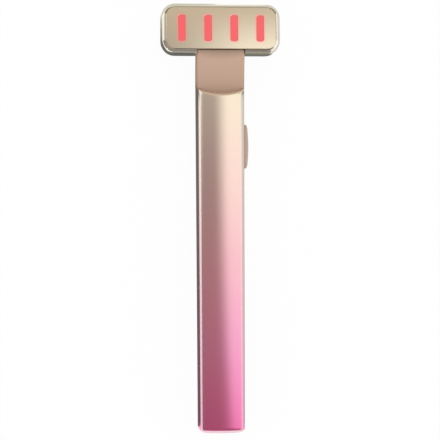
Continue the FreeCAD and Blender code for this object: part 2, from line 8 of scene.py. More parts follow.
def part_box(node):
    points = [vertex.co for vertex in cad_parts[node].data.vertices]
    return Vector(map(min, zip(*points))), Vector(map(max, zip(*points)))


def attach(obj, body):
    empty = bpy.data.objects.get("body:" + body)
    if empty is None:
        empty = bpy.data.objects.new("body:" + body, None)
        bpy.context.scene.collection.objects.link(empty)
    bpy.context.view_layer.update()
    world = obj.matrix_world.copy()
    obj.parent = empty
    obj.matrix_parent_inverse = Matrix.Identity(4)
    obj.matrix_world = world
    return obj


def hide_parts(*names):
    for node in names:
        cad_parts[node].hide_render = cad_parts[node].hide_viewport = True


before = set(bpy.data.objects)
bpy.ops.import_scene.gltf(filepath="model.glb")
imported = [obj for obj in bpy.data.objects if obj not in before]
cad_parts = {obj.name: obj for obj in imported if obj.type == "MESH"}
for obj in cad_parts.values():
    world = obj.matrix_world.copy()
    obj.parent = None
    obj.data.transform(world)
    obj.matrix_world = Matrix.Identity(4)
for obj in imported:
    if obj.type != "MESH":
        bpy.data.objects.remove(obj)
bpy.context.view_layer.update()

# Handle sleeve: an aluminium tube, drawn with a closed and bowed foot, a flat back and a crowned front. It
# narrows a little to the foot. Its mouth is cut aslant along an arch, slots are milled for the button and the
# port, and the whole is bead blasted and dyed.
mm = 0.001
sleeve_low, sleeve_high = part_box("handle_sleeve")
half_width = sleeve_high.x
handle_depth = sleeve_high.z
foot_y = sleeve_low.y
handle_length = 118.5 * mm
mouth_y = foot_y + handle_length
mouth_slant = math.radians(20)
mouth_sag = 1.2 * mm
mouth_sweep_r = (half_width**2 + mouth_sag**2) / (2 * mouth_sag)
face_crown = 1.6 * mm
crown_power = 8
side_crown = 0.5 * mm
front_corner_r = 2.0 * mm
back_corner_r = 2.6 * mm
foot_edge_r = 1.4 * mm
foot_reach = 1.5 * foot_edge_r
foot_draft = 0.4 * mm
draft_power = 9
foot_bow = 0.8 * mm
bow_power = 4
mouth_edge_r = 0.5 * mm
lip_reach = 3 * mouth_edge_r
sleeve_wall = 1.2 * mm
strips_across = 28
strips_up = 14
front_level = handle_depth - face_crown
middle_level = handle_depth / 2
button_low, button_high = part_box("button_cap")
flange_overhang = 0.9 * mm
button_gap = 0.12 * mm
button_length = button_high.y - button_low.y - 2 * flange_overhang
button_width = button_high.z - button_low.z - 2 * flange_overhang
button_middle = (button_low + button_high) / 2
insert_low, insert_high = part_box("port_insert")
insert_middle = (insert_low + insert_high) / 2
insert_gap = 0.05 * mm
pill_corner = 0.46  # a slot's corner radius, as a share of its width
corner_steps = 10
crease_angle = math.radians(32)
weld = 0.05 * mm
hair = 1e-7  # metres, within which two places count as one


def block(low, high):
    """The matrix that turns a unit cube into a block between two corners."""
    return Matrix.Translation((low + high) / 2) @ Matrix.Diagonal((*(high - low), 1))


def runs_along(edge, axis):
    """Whether an edge is parallel to one of the axes."""
    span = edge.verts[1].co - edge.verts[0].co
    return abs(span[axis]) > 0.99 * span.length


def outline(bm, width, height, radius, place):
    """A flat face with round corners, drawn in its own plane and then put in its place."""
    made = bmesh.ops.create_grid(
        bm, x_segments=1, y_segments=1, size=0.5, matrix=Matrix.Diagonal((width, height, 1, 1))
    )
    made = bmesh.ops.bevel(
        bm, geom=made["verts"], affect="VERTICES", offset=radius, segments=corner_steps, profile=0.5,
        material=-1,
    )
    face = made["verts"][0].link_faces[0]
    bmesh.ops.transform(bm, matrix=place, verts=face.verts[:])
    return face


def round_over(bm, face, radius, steps=6, end_slope=0):
    """Round the edge of an end face with rings along a quarter circle, or up to a slope that stays."""
    turn = [(math.pi / 2 - end_slope) * i / steps for i in range(steps + 1)]
    for start, end in zip(turn, turn[1:]):
        bmesh.ops.inset_individual(
            bm,
            faces=[face],
            thickness=radius * (math.cos(start) - math.cos(end)),
            depth=radius * (math.sin(end) - math.sin(start)),
            use_even_offset=True,
        )


def slice_up(bm, normal, places):
    """Cut the faces along parallel planes, so that they can be bowed."""
    for place in places:
        geom = bm.verts[:] + bm.edges[:] + bm.faces[:]
        bmesh.ops.bisect_plane(bm, geom=geom, dist=hair / 10, plane_co=normal * place, plane_no=normal)


def evenly(low, high, count):
    """Places that split a length into equal parts."""
    return [low + (high - low) * (i + 1) / count for i in range(count - 1)]


def open_hole(bm, faces, hole, normal):
    """Replace flat faces by a fill between their border and the outline of a hole."""
    border = [e for e in bm.edges if len([f for f in e.link_faces if f in faces]) == 1]
    loop = hole.edges[:]
    bmesh.ops.delete(bm, geom=[hole], context="FACES_ONLY")
    bmesh.ops.delete(bm, geom=faces, context="FACES")
    bmesh.ops.triangle_fill(bm, use_beauty=True, edges=border + loop, normal=normal)


def draw_section(bm, inset, start):
    """The handle's section, drawn in by an inset, as a flat-sided bar that ends at the mouth."""
    low = Vector((inset - half_width, start, inset))
    high = Vector((half_width - inset, mouth_y, front_level - inset))
    bmesh.ops.create_cube(bm, size=1.0, matrix=block(low, high))
    for is_front, radius in ((True, front_corner_r), (False, back_corner_r)):
        long_edges = [
            e for e in bm.edges
            if runs_along(e, 1) and abs(e.verts[0].co.x) > high.x - hair
            and (e.verts[0].co.z > middle_level) == is_front
        ]
        bmesh.ops.bevel(
            bm, geom=long_edges, affect="EDGES", offset=radius - inset, segments=corner_steps, profile=0.5,
            material=-1,
        )


def bow_section(bm, inset):
    """Slice such a bar into strips, and bow its front and its sides."""
    half = half_width - inset
    high = front_level - inset
    slice_up(bm, Vector((1, 0, 0)), evenly(-half, half, strips_across))
    slice_up(bm, Vector((0, 0, 1)), evenly(inset, high, strips_up))
    for v in bm.verts:
        x, z = v.co.x, v.co.z
        v.co.z += face_crown * (1 - (x / half) ** 2) * (z / high) ** crown_power
        v.co.x -= x / half * side_crown * (z / middle_level - 1) ** 2


def slant_mouth(verts, clear):
    """Move points at the mouth onto its slanted arch, and past it by a clearance along the wand."""
    for v in verts:
        sag = mouth_sweep_r - math.sqrt(mouth_sweep_r**2 - v.co.x**2)
        v.co.y += (handle_depth - v.co.z) * math.tan(mouth_slant) + sag / math.cos(mouth_slant) + clear


def make_piece(bm, name, material):
    """Turn a finished mesh into a piece with smooth faces and creases where it turns sharply."""
    mesh = bpy.data.meshes.new(name)
    bm.to_mesh(mesh)
    bm.free()
    mesh.shade_smooth()
    mesh.set_sharp_from_angle(angle=crease_angle)
    mesh.materials.append(material)
    piece = bpy.data.objects.new(name, mesh)
    bpy.context.scene.collection.objects.link(piece)
    even = piece.modifiers.new("even_normals", "WEIGHTED_NORMAL")
    even.keep_sharp = True
    return piece


def linear(code):
    """An sRGB hex colour as linear values."""
    parts = [int(code[i:i + 2], 16) / 255 for i in (1, 3, 5)]
    return [*(p / 12.92 if p <= 0.04045 else ((p + 0.055) / 1.055) ** 2.4 for p in parts), 1.0]


def add(tree, kind, inputs, stops=(), **settings):
    """Add a node, with its settings and the stops of its colour ramp, and set or link its inputs."""
    node = tree.nodes.new(kind)
    for name, value in settings.items():
        setattr(node, name, value)
    for name, value in inputs.items():
        if isinstance(value, bpy.types.NodeSocket):
            tree.links.new(value, node.inputs[name])
        else:
            node.inputs[name].default_value = value
    for share, code in stops:
        ramp = node.color_ramp.elements
        stop = ramp.new(share) if 0 < share < 1 else ramp[-int(share)]
        stop.color = linear(code)
    return node


def new_material(name):
    """An empty material, and its node tree."""
    material = bpy.data.materials.new(name)
    material.use_nodes = True
    material.node_tree.nodes.clear()
    return material, material.node_tree


sleeve = bmesh.new()
draw_section(sleeve, 0, foot_y + foot_edge_r)
round_over(sleeve, min(sleeve.faces, key=lambda f: f.calc_center_median().y), foot_edge_r)
to_right_side = Matrix.Translation((half_width, button_middle.y, button_middle.z))
to_right_side = to_right_side @ Matrix.Rotation(math.pi / 2, 4, "Y") @ Matrix.Rotation(math.pi / 2, 4, "Z")
right_wall = max(sleeve.faces, key=lambda f: f.calc_center_median().x)
slot_length = button_length + 2 * button_gap
slot_width = button_width + 2 * button_gap
slot = outline(sleeve, slot_length, slot_width, pill_corner * slot_width, to_right_side)
open_hole(sleeve, [right_wall], slot, Vector((1, 0, 0)))
mouth_face = max(sleeve.faces, key=lambda f: f.calc_center_median().y)
bmesh.ops.delete(sleeve, geom=[mouth_face], context="FACES_ONLY")
bow_section(sleeve, 0)
slice_up(sleeve, Vector((0, 1, 0)), [foot_y + foot_reach])
foot_faces = [f for f in sleeve.faces if abs(f.calc_center_median().y - foot_y) < hair]
to_foot = Matrix.Translation((0, foot_y, insert_middle.z)) @ Matrix.Rotation(math.pi / 2, 4, "X")
port_width = insert_high.x - insert_low.x + 2 * insert_gap
port_height = insert_high.z - insert_low.z + 2 * insert_gap
port_hole = outline(sleeve, port_width, port_height, pill_corner * port_height, to_foot)
open_hole(sleeve, foot_faces, port_hole, Vector((0, -1, 0)))
bmesh.ops.remove_doubles(sleeve, verts=sleeve.verts[:], dist=weld)
bmesh.ops.recalc_face_normals(sleeve, faces=sleeve.faces[:])
outside = {v.co.to_tuple(7) for v in sleeve.verts}
bmesh.ops.solidify(sleeve, geom=sleeve.faces[:], thickness=sleeve_wall)
for v in sleeve.verts:
    if v.co.to_tuple(7) in outside:
        towards_foot = (mouth_y - v.co.y) / handle_length
        at_foot = max(0, 1 - (v.co.y - foot_y) / foot_reach)
        v.co.y += foot_bow * at_foot * (v.co.x / half_width) ** bow_power
        v.co.x -= foot_draft * towards_foot * (v.co.x / half_width) ** draft_power
slice_up(sleeve, Vector((0, 1, 0)), [mouth_y - lip_reach])
axis = Vector((0, mouth_y, middle_level))
lip_edges = [
    e for e in sleeve.edges
    if all(abs(v.co.y - mouth_y) < hair for v in e.verts)
    and any(abs(f.normal.y) < 0.5 and f.normal.dot(e.verts[0].co - axis) > 0 for f in e.link_faces)
]
bmesh.ops.bevel(
    sleeve, geom=lip_edges, affect="EDGES", offset=mouth_edge_r, segments=4, profile=0.5, material=-1
)
slant_mouth([v for v in sleeve.verts if v.co.y > mouth_y - 1.01 * lip_reach], 0)

# Aluminium, bead blasted and dyed by lifting it slowly from the bath: a satin metal whose highlights spread
# softly, champagne at the mouth and pink at the foot. The edges are painted paler, most of all the foot's, as
# a painted highlight. The grit's dimples are drawn larger than they are.
anodised, tree = new_material("anodised_aluminium_blasted_and_dyed")
coordinates = add(tree, "ShaderNodeTexCoord", {})
place = add(tree, "ShaderNodeSeparateXYZ", {"Vector": coordinates.outputs["Object"]})
rise = add(
    tree, "ShaderNodeMapRange", {"Value": place.outputs["Y"], "From Min": foot_y, "From Max": mouth_y}
)
dye = add(
    tree, "ShaderNodeValToRGB", {"Fac": rise.outputs["Result"]},
    stops=((0, "#FF84BE"), (0.25, "#FFABD0"), (0.5, "#FFC5CE"), (0.75, "#FFDED3"), (1, "#FEEED5")),
)
facing = add(tree, "ShaderNodeSeparateXYZ", {"Vector": coordinates.outputs["Normal"]})
flatness = add(tree, "ShaderNodeMath", {0: facing.outputs["Z"]}, operation="ABSOLUTE")
# Painted highlight: the colour turns paler on the rounded corners between the faces and the sides, most of
# all where they face the foot.
off_front = add(
    tree, "ShaderNodeMapRange", {"Value": flatness.outputs["Value"], "From Min": 0.9, "From Max": 0.77}
)
foot_edge_highlight = add(
    tree, "ShaderNodeMapRange",
    {"Value": facing.outputs["Y"], "From Min": -0.2, "From Max": -0.6, "To Min": 0.4, "To Max": 0.85},
)
off_side = add(
    tree, "ShaderNodeMapRange",
    {
        "Value": flatness.outputs["Value"], "From Min": 0.2, "From Max": 0.5,
        "To Max": foot_edge_highlight.outputs["Result"],
    },
)
painted_edge_highlight = add(
    tree, "ShaderNodeMath",
    {0: off_front.outputs["Result"], 1: off_side.outputs["Result"]}, operation="MULTIPLY",
)
colour = add(
    tree, "ShaderNodeMix",
    {0: painted_edge_highlight.outputs["Value"], 6: dye.outputs["Color"], 7: linear("#FFF4EE")}, data_type="RGBA",
)
grit_size = 0.2 * mm
grit = add(
    tree, "ShaderNodeTexNoise",
    {"Vector": coordinates.outputs["Object"], "Scale": 1 / grit_size, "Detail": 2.0},
)
dimples = add(
    tree, "ShaderNodeBump", {"Height": grit.outputs["Fac"], "Strength": 0.2, "Distance": 0.004 * mm}
)
metal = add(
    tree, "ShaderNodeBsdfPrincipled",
    {
        "Base Color": colour.outputs[2], "Metallic": 1.0, "Roughness": 0.24,
        "Normal": dimples.outputs["Normal"],
    },
)
add(tree, "ShaderNodeOutputMaterial", {"Surface": metal.outputs["BSDF"]})

sleeve = make_piece(sleeve, "sleeve", anodised)
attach(sleeve, "wand")
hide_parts("handle_sleeve")

# Charging port: a moulded plug pressed into the foot, round a socket of folded steel with a moulded tongue.
# The plug is the same tan ABS as the neck.
socket_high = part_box("usb_socket_shell")[1]
plug_wall = insert_high.x - socket_high.x - insert_gap
plug_width, plug_length, plug_height = insert_high - insert_low


def draw_out(bm, faces, step):
    """Extrude faces by a step, and give the faces that end up there."""
    made = bmesh.ops.extrude_face_region(bm, geom=faces)["geom"]
    bmesh.ops.translate(bm, verts=[g for g in made if isinstance(g, bmesh.types.BMVert)], vec=step)
    return [g for g in made if isinstance(g, bmesh.types.BMFace)]


plug = bmesh.new()
plug_face = outline(plug, plug_width, plug_height, pill_corner * plug_height, to_foot)
bmesh.ops.inset_individual(plug, faces=[plug_face], thickness=plug_wall, use_even_offset=True)
bmesh.ops.delete(plug, geom=[plug_face], context="FACES_ONLY")
draw_out(plug, plug.faces[:], (0, plug_length, 0))
bmesh.ops.recalc_face_normals(plug, faces=plug.faces[:])


def plain_material(name, code, **sockets):
    """A material that is the same all over."""
    material, tree = new_material(name)
    values = {key.replace("_", " "): value for key, value in sockets.items()}
    shader = add(tree, "ShaderNodeBsdfPrincipled", {"Base Color": linear(code), **values})
    add(tree, "ShaderNodeOutputMaterial", {"Surface": shader.outputs["BSDF"]})
    return material


# ABS, moulded in a lightly blasted tool: a smooth matte tan.
plug_abs = plain_material("abs_moulded_tan", "#C4A38C", Roughness=0.5, IOR=1.5)

plug = make_piece(plug, "port_plug", plug_abs)
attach(plug, "wand")
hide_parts("port_insert")


def dress(material, *nodes):
    """Give CAD nodes a material."""
    for name in nodes:
        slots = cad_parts[name].data.materials
        slots.clear()
        slots.append(material)


# Steel, pressed: a bright grey metal with soft highlights.
steel = plain_material("steel_pressed", "#B9B9BB", Metallic=1.0, Roughness=0.32)
dress(steel, "usb_socket_shell")

# ABS, moulded black in a blasted tool: dark, with a dull sheen.
black_abs = plain_material("abs_moulded_black", "#232325", Roughness=0.5, IOR=1.5)
dress(black_abs, "usb_tongue")

# Inside: a chassis with a board, a switch, a taped foil cell and a vibration motor fills the handle, and the
# lamp board, warming film and gasket fill the head. None of it shows until the wand is taken apart.
dress(steel, "board_screws", "neck_screws", "led_board_screws")
dress(steel, "motor_can", "motor_shaft", "eccentric_weight")
dress(black_abs, "inner_frame", "board_chips", "side_switch")

# Glass fibre under a green solder mask: smooth and half glossy.
board = plain_material("glass_fibre_board_green_mask", "#1E6B45", Roughness=0.35, IOR=1.5)
dress(board, "main_board", "led_board")

# Nylon, moulded white: a waxy off-white.
white_nylon = plain_material("nylon_moulded_white", "#E6E2D8", Roughness=0.45, IOR=1.5)
dress(white_nylon, "switch_plunger", "cable_sockets", "head_cable", "red_leds")

# Aluminium foil, laminated and folded round the cell: a dull silver.
foil = plain_material("aluminium_foil_wrap", "#C4C5C9", Metallic=1.0, Roughness=0.38)
dress(foil, "battery_cell")

# Silicone rubber, moulded: dark grey and matte.
rubber = plain_material("silicone_rubber_moulded", "#4A4745", Roughness=0.7, IOR=1.45)
dress(rubber, "battery_pad", "motor_boot", "neck_seal", "head_gasket")

# PVC, extruded over wire: a plain red with some gloss.
wire = plain_material("pvc_insulation_red", "#A4262A", Roughness=0.4, IOR=1.5)
dress(wire, "battery_leads", "motor_leads")

# Brass, stamped and gold plated: a bright yellow metal.
gilt = plain_material("brass_gold_plated", "#E6CB8E", Metallic=1.0, Roughness=0.25)
dress(gilt, "sleeve_contact", "plate_contact_pin")

# Polyimide, cast as film: amber and glossy.
film = plain_material("polyimide_film_amber", "#C9863C", Roughness=0.35, IOR=1.6)
dress(film, "heater_film")

# Button: a bowed cap that fills the slot in the sleeve's side and is pushed in against the switch.
# Moulded in ABS like the neck, with a smoother skin.
button_top = button_high.x
button_bow = 0.5 * mm
button_edge_r = 0.6 * mm
button_strips = 24
button_root = half_width - 2 * sleeve_wall
to_button = to_right_side.copy()
to_button.translation.x = button_root
button = bmesh.new()
button_face = outline(button, button_length, button_width, pill_corner * button_width, to_button)
draw_out(button, [button_face], (button_top - button_edge_r - button_root, 0, 0))
bmesh.ops.recalc_face_normals(button, faces=button.faces[:])
round_over(button, max(button.faces, key=lambda f: f.calc_center_median().x), button_edge_r)
button_ends = (button_middle.y - button_length / 2, button_middle.y + button_length / 2)
slice_up(button, Vector((0, 1, 0)), evenly(*button_ends, button_strips))
for v in button.verts:
    if v.co.x > half_width - sleeve_wall:
        v.co.x -= button_bow * ((v.co.y - button_middle.y) / (button_length / 2)) ** 2

# ABS, moulded in a polished and then lightly blasted tool: satin, a shade greyer than the neck.
satin_abs = plain_material("abs_moulded_satin_tan", "#C0A999", Roughness=0.38, IOR=1.5)

button = make_piece(button, "button", satin_abs)
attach(button, "button")
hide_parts("button_cap")

# Neck and back of the head: one ABS moulding. A spigot fills the sleeve's mouth, a bar as wide as the handle
# rises from it to the plate's lower edge, and a shallow tray with round edges closes the head from behind.
bezel_low, bezel_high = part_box("head_bezel")
plate_thickness = 1.0 * mm
head_tilt = math.radians(2)
head_width = bezel_high.x - bezel_low.x
head_height = 17.9 * mm
head_corner_r = 5.0 * mm
bezel_lip = 1.6 * mm
plate_width = head_width - 2 * bezel_lip
plate_height = head_height - 2 * bezel_lip
neck_length = 14.4 * mm
head_drop = 0.5 * mm
head_middle = Vector((0, mouth_y + neck_length + head_height / 2, handle_depth - head_drop))
on_head = Matrix.Translation(head_middle) @ Matrix.Rotation(-head_tilt, 4, "X")
neck_recess = 3.5 * mm
neck_back_recess = 2.2 * mm
neck_drop = 1.3 * mm
neck_gap = 0.15 * mm
neck_edge_r = 0.6 * mm
neck_strips = 16
spigot_inset = 1.3 * mm
spigot_depth = 7.0 * mm
seam = 0.12 * mm
skirt_end = -6.3 * mm
shell_front = skirt_end - seam
shell_depth = 4.4 * mm
shell_back = shell_front - shell_depth
shell_overlap = 2.0 * mm
shell_step = 0.25 * mm
back_edge_r = 3.0 * mm


def at_head(along, level):
    """A point of the neck's profile from its place along the head and its level from the plate's front."""
    return on_head @ Vector((-half_width, along, level))


def joined(*solids):
    """One closed mesh in place of closed meshes that overlap."""
    pieces = []
    for bm in solids:
        mesh = bpy.data.meshes.new("solid")
        bm.to_mesh(mesh)
        bm.free()
        pieces.append(bpy.data.objects.new("solid", mesh))
        bpy.context.scene.collection.objects.link(pieces[-1])
    for other in pieces[1:]:
        union = pieces[0].modifiers.new("union", "BOOLEAN")
        union.operation = "UNION"
        union.solver = "MANIFOLD"
        union.object = other
    whole = bmesh.new()
    whole.from_object(pieces[0], bpy.context.evaluated_depsgraph_get())
    for piece in pieces:
        bpy.data.meshes.remove(piece.data)
    return whole


neck_front = handle_depth - neck_recess
neck_top = -plate_height / 2 - neck_gap
neck_profile = [
    at_head(neck_top, -neck_drop),
    Vector((-half_width, mouth_y, neck_front)),
    Vector((-half_width, mouth_y, neck_back_recess)),
    at_head(-head_height / 2 + shell_overlap, shell_back + shell_overlap),
    at_head(neck_top, skirt_end),
]
bar = bmesh.new()
bar_side = bar.faces.new([bar.verts.new(p) for p in neck_profile])
draw_out(bar, [bar_side], (2 * half_width, 0, 0))
bmesh.ops.recalc_face_normals(bar, faces=bar.faces[:])
long_edges = [
    e for e in bar.edges
    if abs(e.verts[0].co.x - e.verts[1].co.x) < hair and min(v.co.y for v in e.verts) < mouth_y + hair
    and max(v.co.y for v in e.verts) > mouth_y + hair
]
bmesh.ops.bevel(
    bar, geom=long_edges, affect="EDGES", offset=neck_edge_r, segments=5, profile=0.5, material=-1
)
slice_up(bar, Vector((1, 0, 0)), evenly(-half_width, half_width, neck_strips))
slice_up(bar, Vector((0, 0, 1)), evenly(0, handle_depth, neck_strips))
neck_end = neck_profile[0].y
for v in bar.verts:
    towards_mouth = max(0, (neck_end - v.co.y) / (neck_end - mouth_y))
    v.co.x -= v.co.x / half_width * side_crown * (v.co.z / middle_level - 1) ** 2 * towards_mouth
slant_mouth([v for v in bar.verts if v.co.y < mouth_y + hair], seam / 2)
spigot = bmesh.new()
draw_section(spigot, spigot_inset, mouth_y - spigot_depth)
bow_section(spigot, spigot_inset)
slant_mouth([v for v in spigot.verts if v.co.y > mouth_y - hair], seam)
shell = bmesh.new()
tray = outline(
    shell, head_width - 2 * shell_step, head_height - 2 * shell_step, head_corner_r - shell_step,
    Matrix.Translation((0, 0, shell_front)),
)
draw_out(shell, [tray], (0, 0, back_edge_r - shell_depth))
bmesh.ops.recalc_face_normals(shell, faces=shell.faces[:])
round_over(shell, min(shell.faces, key=lambda f: f.calc_center_median().z), back_edge_r, 8)
bmesh.ops.transform(shell, matrix=on_head, verts=shell.verts[:])
neck = joined(bar, spigot, shell)

# ABS, moulded in a fine spark-eroded tool: matte, with a faint grain that is drawn coarser than it is so that
# it shows at all. It is painted darker towards the seam and the plate, a painted shade of the occlusion
# there.
tan_abs, tree = new_material("abs_moulded_matte_tan")
coordinates = add(tree, "ShaderNodeTexCoord", {})
spark_size = 0.3 * mm
spark = add(
    tree, "ShaderNodeTexNoise",
    {"Vector": coordinates.outputs["Object"], "Scale": 1 / spark_size, "Detail": 3.0},
)
spark_bump = add(
    tree, "ShaderNodeBump", {"Height": spark.outputs["Fac"], "Strength": 0.25, "Distance": 0.02 * mm}
)
place = add(tree, "ShaderNodeSeparateXYZ", {"Vector": coordinates.outputs["Object"]})
across = add(tree, "ShaderNodeMath", {0: place.outputs["X"], 1: 2.0}, operation="POWER")
arch = add(
    tree, "ShaderNodeMath",
    {0: across.outputs["Value"], 1: mouth_sag / half_width**2}, operation="MULTIPLY",
)
above_seam = add(
    tree, "ShaderNodeMath", {0: place.outputs["Y"], 1: arch.outputs["Value"]}, operation="SUBTRACT"
)
neck_seam = mouth_y + neck_recess * math.tan(mouth_slant)
up_neck = add(
    tree, "ShaderNodeMapRange",
    {"Value": above_seam.outputs["Value"], "From Min": neck_seam, "From Max": neck_end},
)
# Painted shade: the colour darkens towards the sleeve's mouth and under the plate's lower edge.
painted_shade = add(
    tree, "ShaderNodeValToRGB", {"Fac": up_neck.outputs["Result"]},
    stops=((0, "#B89882"), (0.28, "#BF9E88"), (0.7, "#C4A38C"), (0.77, "#C4A38C"), (1, "#A38773")),
)
plastic = add(
    tree, "ShaderNodeBsdfPrincipled",
    {
        "Base Color": painted_shade.outputs["Color"], "Roughness": 0.55, "IOR": 1.5,
        "Normal": spark_bump.outputs["Normal"],
    },
)
add(tree, "ShaderNodeOutputMaterial", {"Surface": plastic.outputs["BSDF"]})

neck = make_piece(neck, "neck", tan_abs)
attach(neck, "wand")
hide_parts("neck_housing")

# Bezel: a polished rim that rises to the plate all round, with a deep skirt over the tray. It is die cast in
# zinc, polished and plated, and a notch in its lower side lets the neck through.
bezel_drop = 0.3 * mm
bezel_round = 1.3 * mm
rim_slope = math.radians(25)
rim_r = bezel_round / (1 - math.sin(rim_slope))
plate_fit = 0.06 * mm
rim_end = bezel_lip - bezel_round - plate_fit
rim_rise = rim_end * math.tan(rim_slope)
plate_corner_r = head_corner_r - bezel_lip
notch_half = half_width + seam / 2
bezel = bmesh.new()
skirt = outline(bezel, head_width, head_height, head_corner_r, Matrix.Translation((0, 0, skirt_end)))
draw_out(bezel, [skirt], (0, 0, -bezel_drop - rim_r * math.cos(rim_slope) - skirt_end))
bmesh.ops.recalc_face_normals(bezel, faces=bezel.faces[:])
rim_face = max(bezel.faces, key=lambda f: f.calc_center_median().z)
round_over(bezel, rim_face, rim_r, 8, rim_slope)
bmesh.ops.inset_individual(
    bezel, faces=[rim_face], thickness=rim_end, depth=rim_rise, use_even_offset=True
)
draw_out(bezel, [rim_face], (0, 0, skirt_end + bezel_drop - rim_rise))
bmesh.ops.delete(bezel, geom=[rim_face], context="FACES_ONLY")
ends = [f for f in bezel.faces if len(f.verts) > 4]
end_edges = [e for f in ends for e in f.edges]
bmesh.ops.delete(bezel, geom=ends, context="FACES_ONLY")
bmesh.ops.bridge_loops(bezel, edges=end_edges)
slice_up(bezel, Vector((1, 0, 0)), (-notch_half, notch_half))
notch = [
    f for f in bezel.faces
    if abs(f.calc_center_median().x) < notch_half and f.calc_center_median().y < 0
]
bmesh.ops.delete(bezel, geom=notch, context="FACES")
bmesh.ops.holes_fill(bezel, edges=[e for e in bezel.edges if e.is_boundary])
bmesh.ops.recalc_face_normals(bezel, faces=bezel.faces[:])
bmesh.ops.transform(bezel, matrix=on_head, verts=bezel.verts[:])

# Zinc, die cast, polished and champagne plated: a near mirror with a warm tint.
champagne = plain_material("zinc_polished_champagne_plated", "#F8F2E2", Metallic=1.0, Roughness=0.12)

bezel = make_piece(bezel, "bezel", champagne)
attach(bezel, "wand")
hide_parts("head_bezel")

# Face plate: the part that touches the skin, a flat steel plate with four slots stamped through it and its
# edges broken. It is finely brushed, champagne plated, and glued into the bezel.
plate_edge_r = 0.25 * mm
flat_angle = math.radians(10)
slot_count = 4
slot_end_margin = 2.9 * mm
slot_side_margin = 5.6 * mm
light_slot_width = 2.4 * mm
light_slot_length = plate_height - 2 * slot_end_margin
light_slot_r = 0.7 * mm
light_slot_pitch = (plate_width - 2 * slot_side_margin) / (slot_count - 1)
slot_places = [(i - (slot_count - 1) / 2) * light_slot_pitch for i in range(slot_count)]
glow_reach = 1.2 * mm
plate = bmesh.new()
plate_face = outline(plate, plate_width, plate_height, plate_corner_r, Matrix.Identity(4))
slot_faces = []
for x in slot_places:
    halo = outline(
        plate, light_slot_width + 2 * glow_reach, light_slot_length + 2 * glow_reach,
        light_slot_r + glow_reach, Matrix.Translation((x, 0, 0)),
    )
    bmesh.ops.inset_individual(plate, faces=[halo], thickness=glow_reach, use_even_offset=True)
    slot_faces.append(halo)
border = [e for e in plate.edges if e.is_boundary]
bmesh.ops.delete(plate, geom=[plate_face] + slot_faces, context="FACES_ONLY")
bmesh.ops.triangle_fill(plate, use_beauty=True, edges=border, normal=(0, 0, 1))
draw_out(plate, plate.faces[:], (0, 0, -plate_thickness))
bmesh.ops.recalc_face_normals(plate, faces=plate.faces[:])
front_edges = [
    e for e in plate.edges
    if all(abs(v.co.z) < hair for v in e.verts) and any(abs(f.normal.z) < 0.5 for f in e.link_faces)
]
bmesh.ops.bevel(
    plate, geom=front_edges, affect="EDGES", offset=plate_edge_r, segments=4, profile=0.5, material=-1
)
# Painted glow: the plate beside the slots is marked where the bars' red light is painted on.
painted_glow = plate.verts.layers.float.new("painted_glow")
near_edge = 1.2 * plate_edge_r
for v in plate.verts:
    beside = min(abs(v.co.x - x) for x in slot_places) < light_slot_width / 2 + near_edge
    v[painted_glow] = float(beside and abs(v.co.y) < light_slot_length / 2 + near_edge)
bmesh.ops.transform(plate, matrix=on_head, verts=plate.verts[:])

# Steel, finely brushed along the head and champagne plated: a satin metal with a very faint streak. Beside
# the slots it is painted pink and given a red glow, a painted glow of the bars' light. The streaks are drawn
# wider than the real ones.
brushed, tree = new_material("steel_brushed_champagne_plated")
coordinates = add(tree, "ShaderNodeTexCoord", {})
streak_width = 0.25 * mm
streak_length = 12 * mm
stretched = add(
    tree, "ShaderNodeMapping",
    {
        "Vector": coordinates.outputs["Object"],
        "Scale": (1 / streak_length, 1 / streak_width, 1 / streak_width),
    },
)
streaks = add(
    tree, "ShaderNodeTexNoise", {"Vector": stretched.outputs["Vector"], "Scale": 1.0, "Detail": 3.0}
)
sheen = add(
    tree, "ShaderNodeMapRange", {"Value": streaks.outputs["Fac"], "To Min": 0.13, "To Max": 0.2}
)
near_slot = add(tree, "ShaderNodeAttribute", {}, attribute_name="painted_glow")
# Painted glow: beside the slots the plate is tinted pink and glows red by itself.
painted_glow_tint = add(
    tree, "ShaderNodeMix",
    {0: near_slot.outputs["Fac"], 6: linear("#FDEFD4"), 7: linear("#FDD6CC")}, data_type="RGBA",
)
painted_glow_light = add(
    tree, "ShaderNodeMix",
    {0: near_slot.outputs["Fac"], 6: linear("#000000"), 7: linear("#7C0A07")}, data_type="RGBA",
)
plated = add(
    tree, "ShaderNodeBsdfPrincipled",
    {
        "Base Color": painted_glow_tint.outputs[2], "Metallic": 1.0, "Roughness": sheen.outputs["Result"],
        "Emission Color": painted_glow_light.outputs[2], "Emission Strength": 1.0,
    },
)
add(tree, "ShaderNodeOutputMaterial", {"Surface": plated.outputs["BSDF"]})

# The finer crease angle keeps the flat front flat to the eye beside its broken edges.
plate = make_piece(plate, "plate", brushed)
plate.data.set_sharp_from_angle(angle=flat_angle)
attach(plate, "wand")
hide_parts("face_plate")

# Light guide: a clear red polycarbonate moulding behind the plate. Its four bars fill the slots and stand a
# hair proud, and the lamps behind make them glow.
bar_gap = 0.06 * mm
bar_rise = 0.15 * mm
bar_edge_r = 0.25 * mm
bar_dim_edge = 0.34 * mm
guide = bmesh.new()
lit = guide.verts.layers.float.new("lit")
for x in slot_places:
    bar_place = Matrix.Translation((x, 0, -plate_thickness))
    bar_face = outline(
        guide, light_slot_width - 2 * bar_gap, light_slot_length - 2 * bar_gap, light_slot_r - bar_gap,
        bar_place,
    )
    (lens_face,) = draw_out(guide, [bar_face], (0, 0, plate_thickness + bar_rise - bar_edge_r))
    round_over(guide, lens_face, bar_edge_r, 4)
    bmesh.ops.inset_individual(guide, faces=[lens_face], thickness=bar_dim_edge, use_even_offset=True)
    for v in lens_face.verts:
        v[lit] = 1.0
bmesh.ops.recalc_face_normals(guide, faces=guide.faces[:])
bmesh.ops.transform(guide, matrix=on_head, verts=guide.verts[:])

